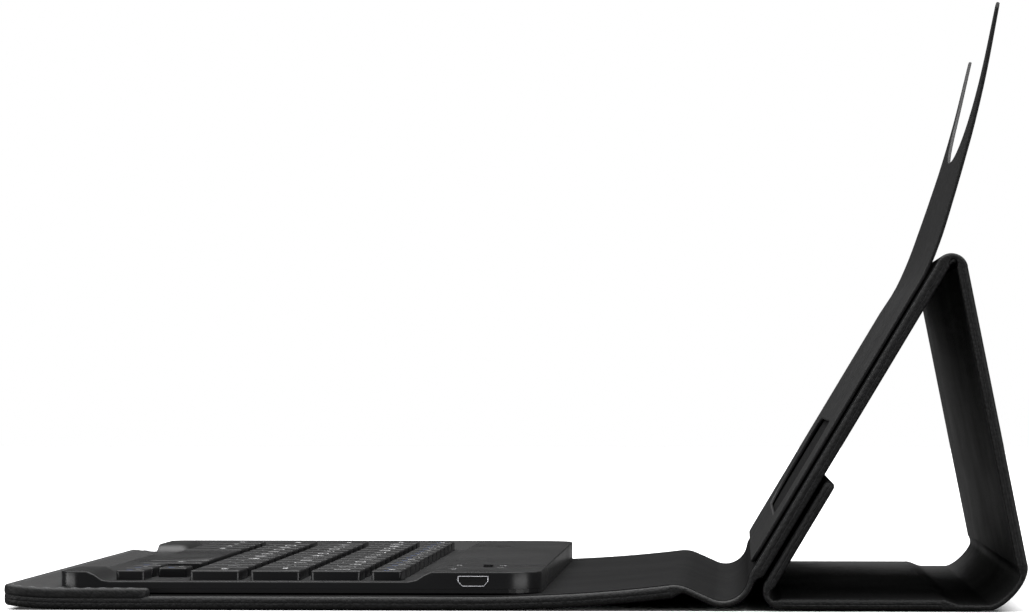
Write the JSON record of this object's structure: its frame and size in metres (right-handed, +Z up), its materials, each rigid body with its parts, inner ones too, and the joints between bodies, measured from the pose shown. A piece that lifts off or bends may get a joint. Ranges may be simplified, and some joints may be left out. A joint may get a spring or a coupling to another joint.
{
  "type": "tablet keyboard case",
  "caption": "Folding leather tablet case with a magnetic slim wireless keyboard, a triangular fold-up stand and a soft tablet holder sheet.",
  "frame": {"origin": "middle of the front cover's flat underside, on the table", "axes": "+X to the user's right, +Y away from the user towards the stand, +Z up"},
  "size_m": [0.262, 0.2603, 0.154],
  "materials": {
    "leather": "matt black pebbled synthetic leather",
    "lining": "smooth satin black synthetic leather",
    "greyboard": "raw greyboard",
    "steel": "plain sheet steel",
    "magnet": "nickel-plated magnet",
    "glue": "foam adhesive",
    "holder": "soft black synthetic leather sheet",
    "shell": "satin black ABS",
    "keycap": "satin black ABS with white legends",
    "membrane": "clear film with printed traces",
    "dome_rubber": "white silicone rubber",
    "circuit": "green glass-epoxy board",
    "cell": "foil pouch",
    "socket_metal": "bright plated steel",
    "screw_metal": "dark plated steel",
    "lens": "clear moulded plastic",
    "foot_rubber": "black rubber"
  },
  "bodies": {
    "cover": {"cover_leather": "leather", "cover_board": "greyboard", "cover_lining": "lining", "keyboard_stop": "leather", "cover_magnets": "magnet"},
    "spine": {"spine_leather": "leather", "spine_lining": "lining"},
    "front_panel": {"front_panel_leather": "leather", "front_panel_board": "greyboard", "front_panel_lining": "lining", "front_panel_steel_strip": "steel", "holder_glue_strips": "glue", "holder_sheet": "holder", "ridge_fold": "leather"},
    "holder_flap": {"holder_flap": "holder"},
    "rear_panel": {"rear_panel_leather": "leather", "rear_panel_board": "greyboard", "rear_panel_lining": "lining", "heel_fold": "leather"},
    "base": {"base_leather": "leather", "base_board": "greyboard", "base_lining": "lining", "toe_fold": "leather"},
    "tab": {"tab_leather": "leather", "tab_board": "greyboard", "tab_lining": "lining", "tab_magnets": "magnet"},
    "keyboard": {"keyboard_top_shell": "shell", "keyboard_bottom_shell": "shell", "key_backplate": "steel", "switch_membrane": "membrane", "rubber_domes": "dome_rubber", "circuit_board": "circuit", "battery": "cell", "charging_socket": "socket_metal", "indicator_lenses": "lens", "keyboard_magnets": "magnet", "shell_screws": "screw_metal", "keyboard_feet": "foot_rubber"},
    "power_switch": {"power_switch": "shell"},
    "key_control": {"key_control": "keycap"},
    "key_function": {"key_function": "keycap"},
    "key_option": {"key_option": "keycap"},
    "key_command": {"key_command": "keycap"},
    "key_space": {"key_space": "keycap"},
    "key_alternate": {"key_alternate": "keycap"},
    "key_left": {"key_left": "keycap"},
    "key_down": {"key_down": "keycap"},
    "key_up": {"key_up": "keycap"},
    "key_right": {"key_right": "keycap"},
    "key_left_shift": {"key_left_shift": "keycap"},
    "keys_bottom_letters": {"keys_bottom_letters": "keycap"},
    "key_right_shift": {"key_right_shift": "keycap"},
    "key_caps_lock": {"key_caps_lock": "keycap"},
    "keys_middle_letters": {"keys_middle_letters": "keycap"},
    "key_enter": {"key_enter": "keycap"},
    "keys_top_letters": {"keys_top_letters": "keycap"},
    "key_escape": {"key_escape": "keycap"},
    "keys_numbers": {"keys_numbers": "keycap"},
    "key_backspace": {"key_backspace": "keycap"}
  },
  "joints": [
    {"name": "keyboard_lift", "type": "slide", "parent": "cover", "child": "keyboard", "axis": [0, 0, -1], "range_m": [-0.03, 0]},
    {"name": "cover_fold", "type": "hinge", "parent": "cover", "child": "spine", "pos_m": [0, 0.0849, 0.00642], "axis": [1, 0, 0], "range_deg": [0, 75]},
    {"name": "spine_fold", "type": "hinge", "parent": "spine", "child": "front_panel", "pos_m": [0, 0.10649, 0.01114], "axis": [1, 0, 0], "range_deg": [0, 46]},
    {"name": "ridge_hinge", "type": "hinge", "parent": "front_panel", "child": "rear_panel", "pos_m": [0, 0.1572, 0.09044], "axis": [1, 0, 0], "range_deg": [0, 137.8], "deforming": ["ridge_fold"]},
    {"name": "heel_hinge", "type": "hinge", "parent": "rear_panel", "child": "base", "pos_m": [0, 0.17373, 0.00333], "axis": [1, 0, 0], "range_deg": [-0.5, 101.7], "deforming": ["heel_fold"]},
    {"name": "toe_hinge", "type": "hinge", "parent": "base", "child": "tab", "pos_m": [0, 0.1091, 0.00249], "axis": [1, 0, 0], "range_deg": [-0.5, 121.5], "deforming": ["toe_fold"]},
    {"name": "flap_crease", "type": "hinge", "parent": "front_panel", "child": "holder_flap", "pos_m": [0, 0.1458, 0.0791], "axis": [-1, 0, 0], "range_deg": [-90, 5]},
    {"name": "power_switch_slide", "type": "slide", "parent": "keyboard", "child": "power_switch", "axis": [1, 0, 0], "range_m": [0, 0.003]},
    {"name": "key_control_press", "type": "slide", "parent": "keyboard", "child": "key_control", "axis": [0, 0, -1], "range_m": [0, 0.0009], "stiffness_N_per_m": 250, "springref_m": -0.001, "deforming": ["rubber_domes"]},
    {"name": "key_function_press", "type": "slide", "parent": "keyboard", "child": "key_function", "axis": [0, 0, -1], "range_m": [0, 0.0009], "stiffness_N_per_m": 250, "springref_m": -0.001, "deforming": ["rubber_domes"]},
    {"name": "key_option_press", "type": "slide", "parent": "keyboard", "child": "key_option", "axis": [0, 0, -1], "range_m": [0, 0.0009], "stiffness_N_per_m": 250, "springref_m": -0.001, "deforming": ["rubber_domes"]},
    {"name": "key_command_press", "type": "slide", "parent": "keyboard", "child": "key_command", "axis": [0, 0, -1], "range_m": [0, 0.0009], "stiffness_N_per_m": 250, "springref_m": -0.001, "deforming": ["rubber_domes"]},
    {"name": "key_space_press", "type": "slide", "parent": "keyboard", "child": "key_space", "axis": [0, 0, -1], "range_m": [0, 0.0009], "stiffness_N_per_m": 250, "springref_m": -0.001, "deforming": ["rubber_domes"]},
    {"name": "key_alternate_press", "type": "slide", "parent": "keyboard", "child": "key_alternate", "axis": [0, 0, -1], "range_m": [0, 0.0009], "stiffness_N_per_m": 250, "springref_m": -0.001, "deforming": ["rubber_domes"]},
    {"name": "key_left_press", "type": "slide", "parent": "keyboard", "child": "key_left", "axis": [0, 0, -1], "range_m": [0, 0.0009], "stiffness_N_per_m": 250, "springref_m": -0.001, "deforming": ["rubber_domes"]},
    {"name": "key_down_press", "type": "slide", "parent": "keyboard", "child": "key_down", "axis": [0, 0, -1], "range_m": [0, 0.0009], "stiffness_N_per_m": 250, "springref_m": -0.001, "deforming": ["rubber_domes"]},
    {"name": "key_up_press", "type": "slide", "parent": "keyboard", "child": "key_up", "axis": [0, 0, -1], "range_m": [0, 0.0009], "stiffness_N_per_m": 250, "springref_m": -0.001, "deforming": ["rubber_domes"]},
    {"name": "key_right_press", "type": "slide", "parent": "keyboard", "child": "key_right", "axis": [0, 0, -1], "range_m": [0, 0.0009], "stiffness_N_per_m": 250, "springref_m": -0.001, "deforming": ["rubber_domes"]},
    {"name": "key_left_shift_press", "type": "slide", "parent": "keyboard", "child": "key_left_shift", "axis": [0, 0, -1], "range_m": [0, 0.0009], "stiffness_N_per_m": 250, "springref_m": -0.001, "deforming": ["rubber_domes"]},
    {"name": "keys_bottom_letters_press", "type": "slide", "parent": "keyboard", "child": "keys_bottom_letters", "axis": [0, 0, -1], "range_m": [0, 0.0009], "stiffness_N_per_m": 2500, "springref_m": -0.001, "deforming": ["rubber_domes"]},
    {"name": "key_right_shift_press", "type": "slide", "parent": "keyboard", "child": "key_right_shift", "axis": [0, 0, -1], "range_m": [0, 0.0009], "stiffness_N_per_m": 250, "springref_m": -0.001, "deforming": ["rubber_domes"]},
    {"name": "key_caps_lock_press", "type": "slide", "parent": "keyboard", "child": "key_caps_lock", "axis": [0, 0, -1], "range_m": [0, 0.0009], "stiffness_N_per_m": 250, "springref_m": -0.001, "deforming": ["rubber_domes"]},
    {"name": "keys_middle_letters_press", "type": "slide", "parent": "keyboard", "child": "keys_middle_letters", "axis": [0, 0, -1], "range_m": [0, 0.0009], "stiffness_N_per_m": 2500, "springref_m": -0.001, "deforming": ["rubber_domes"]},
    {"name": "key_enter_press", "type": "slide", "parent": "keyboard", "child": "key_enter", "axis": [0, 0, -1], "range_m": [0, 0.0009], "stiffness_N_per_m": 250, "springref_m": -0.001, "deforming": ["rubber_domes"]},
    {"name": "keys_top_letters_press", "type": "slide", "parent": "keyboard", "child": "keys_top_letters", "axis": [0, 0, -1], "range_m": [0, 0.0009], "stiffness_N_per_m": 3250, "springref_m": -0.001, "deforming": ["rubber_domes"]},
    {"name": "key_escape_press", "type": "slide", "parent": "keyboard", "child": "key_escape", "axis": [0, 0, -1], "range_m": [0, 0.0009], "stiffness_N_per_m": 250, "springref_m": -0.001, "deforming": ["rubber_domes"]},
    {"name": "keys_numbers_press", "type": "slide", "parent": "keyboard", "child": "keys_numbers", "axis": [0, 0, -1], "range_m": [0, 0.0009], "stiffness_N_per_m": 2750, "springref_m": -0.001, "deforming": ["rubber_domes"]},
    {"name": "key_backspace_press", "type": "slide", "parent": "keyboard", "child": "key_backspace", "axis": [0, 0, -1], "range_m": [0, 0.0009], "stiffness_N_per_m": 250, "springref_m": -0.001, "deforming": ["rubber_domes"]}
  ],
  "couplings": [
    {"joint": "heel_hinge", "follows": "ridge_hinge", "ratio": 0.7344},
    {"joint": "toe_hinge", "follows": "ridge_hinge", "ratio": 0.87808}
  ]
}
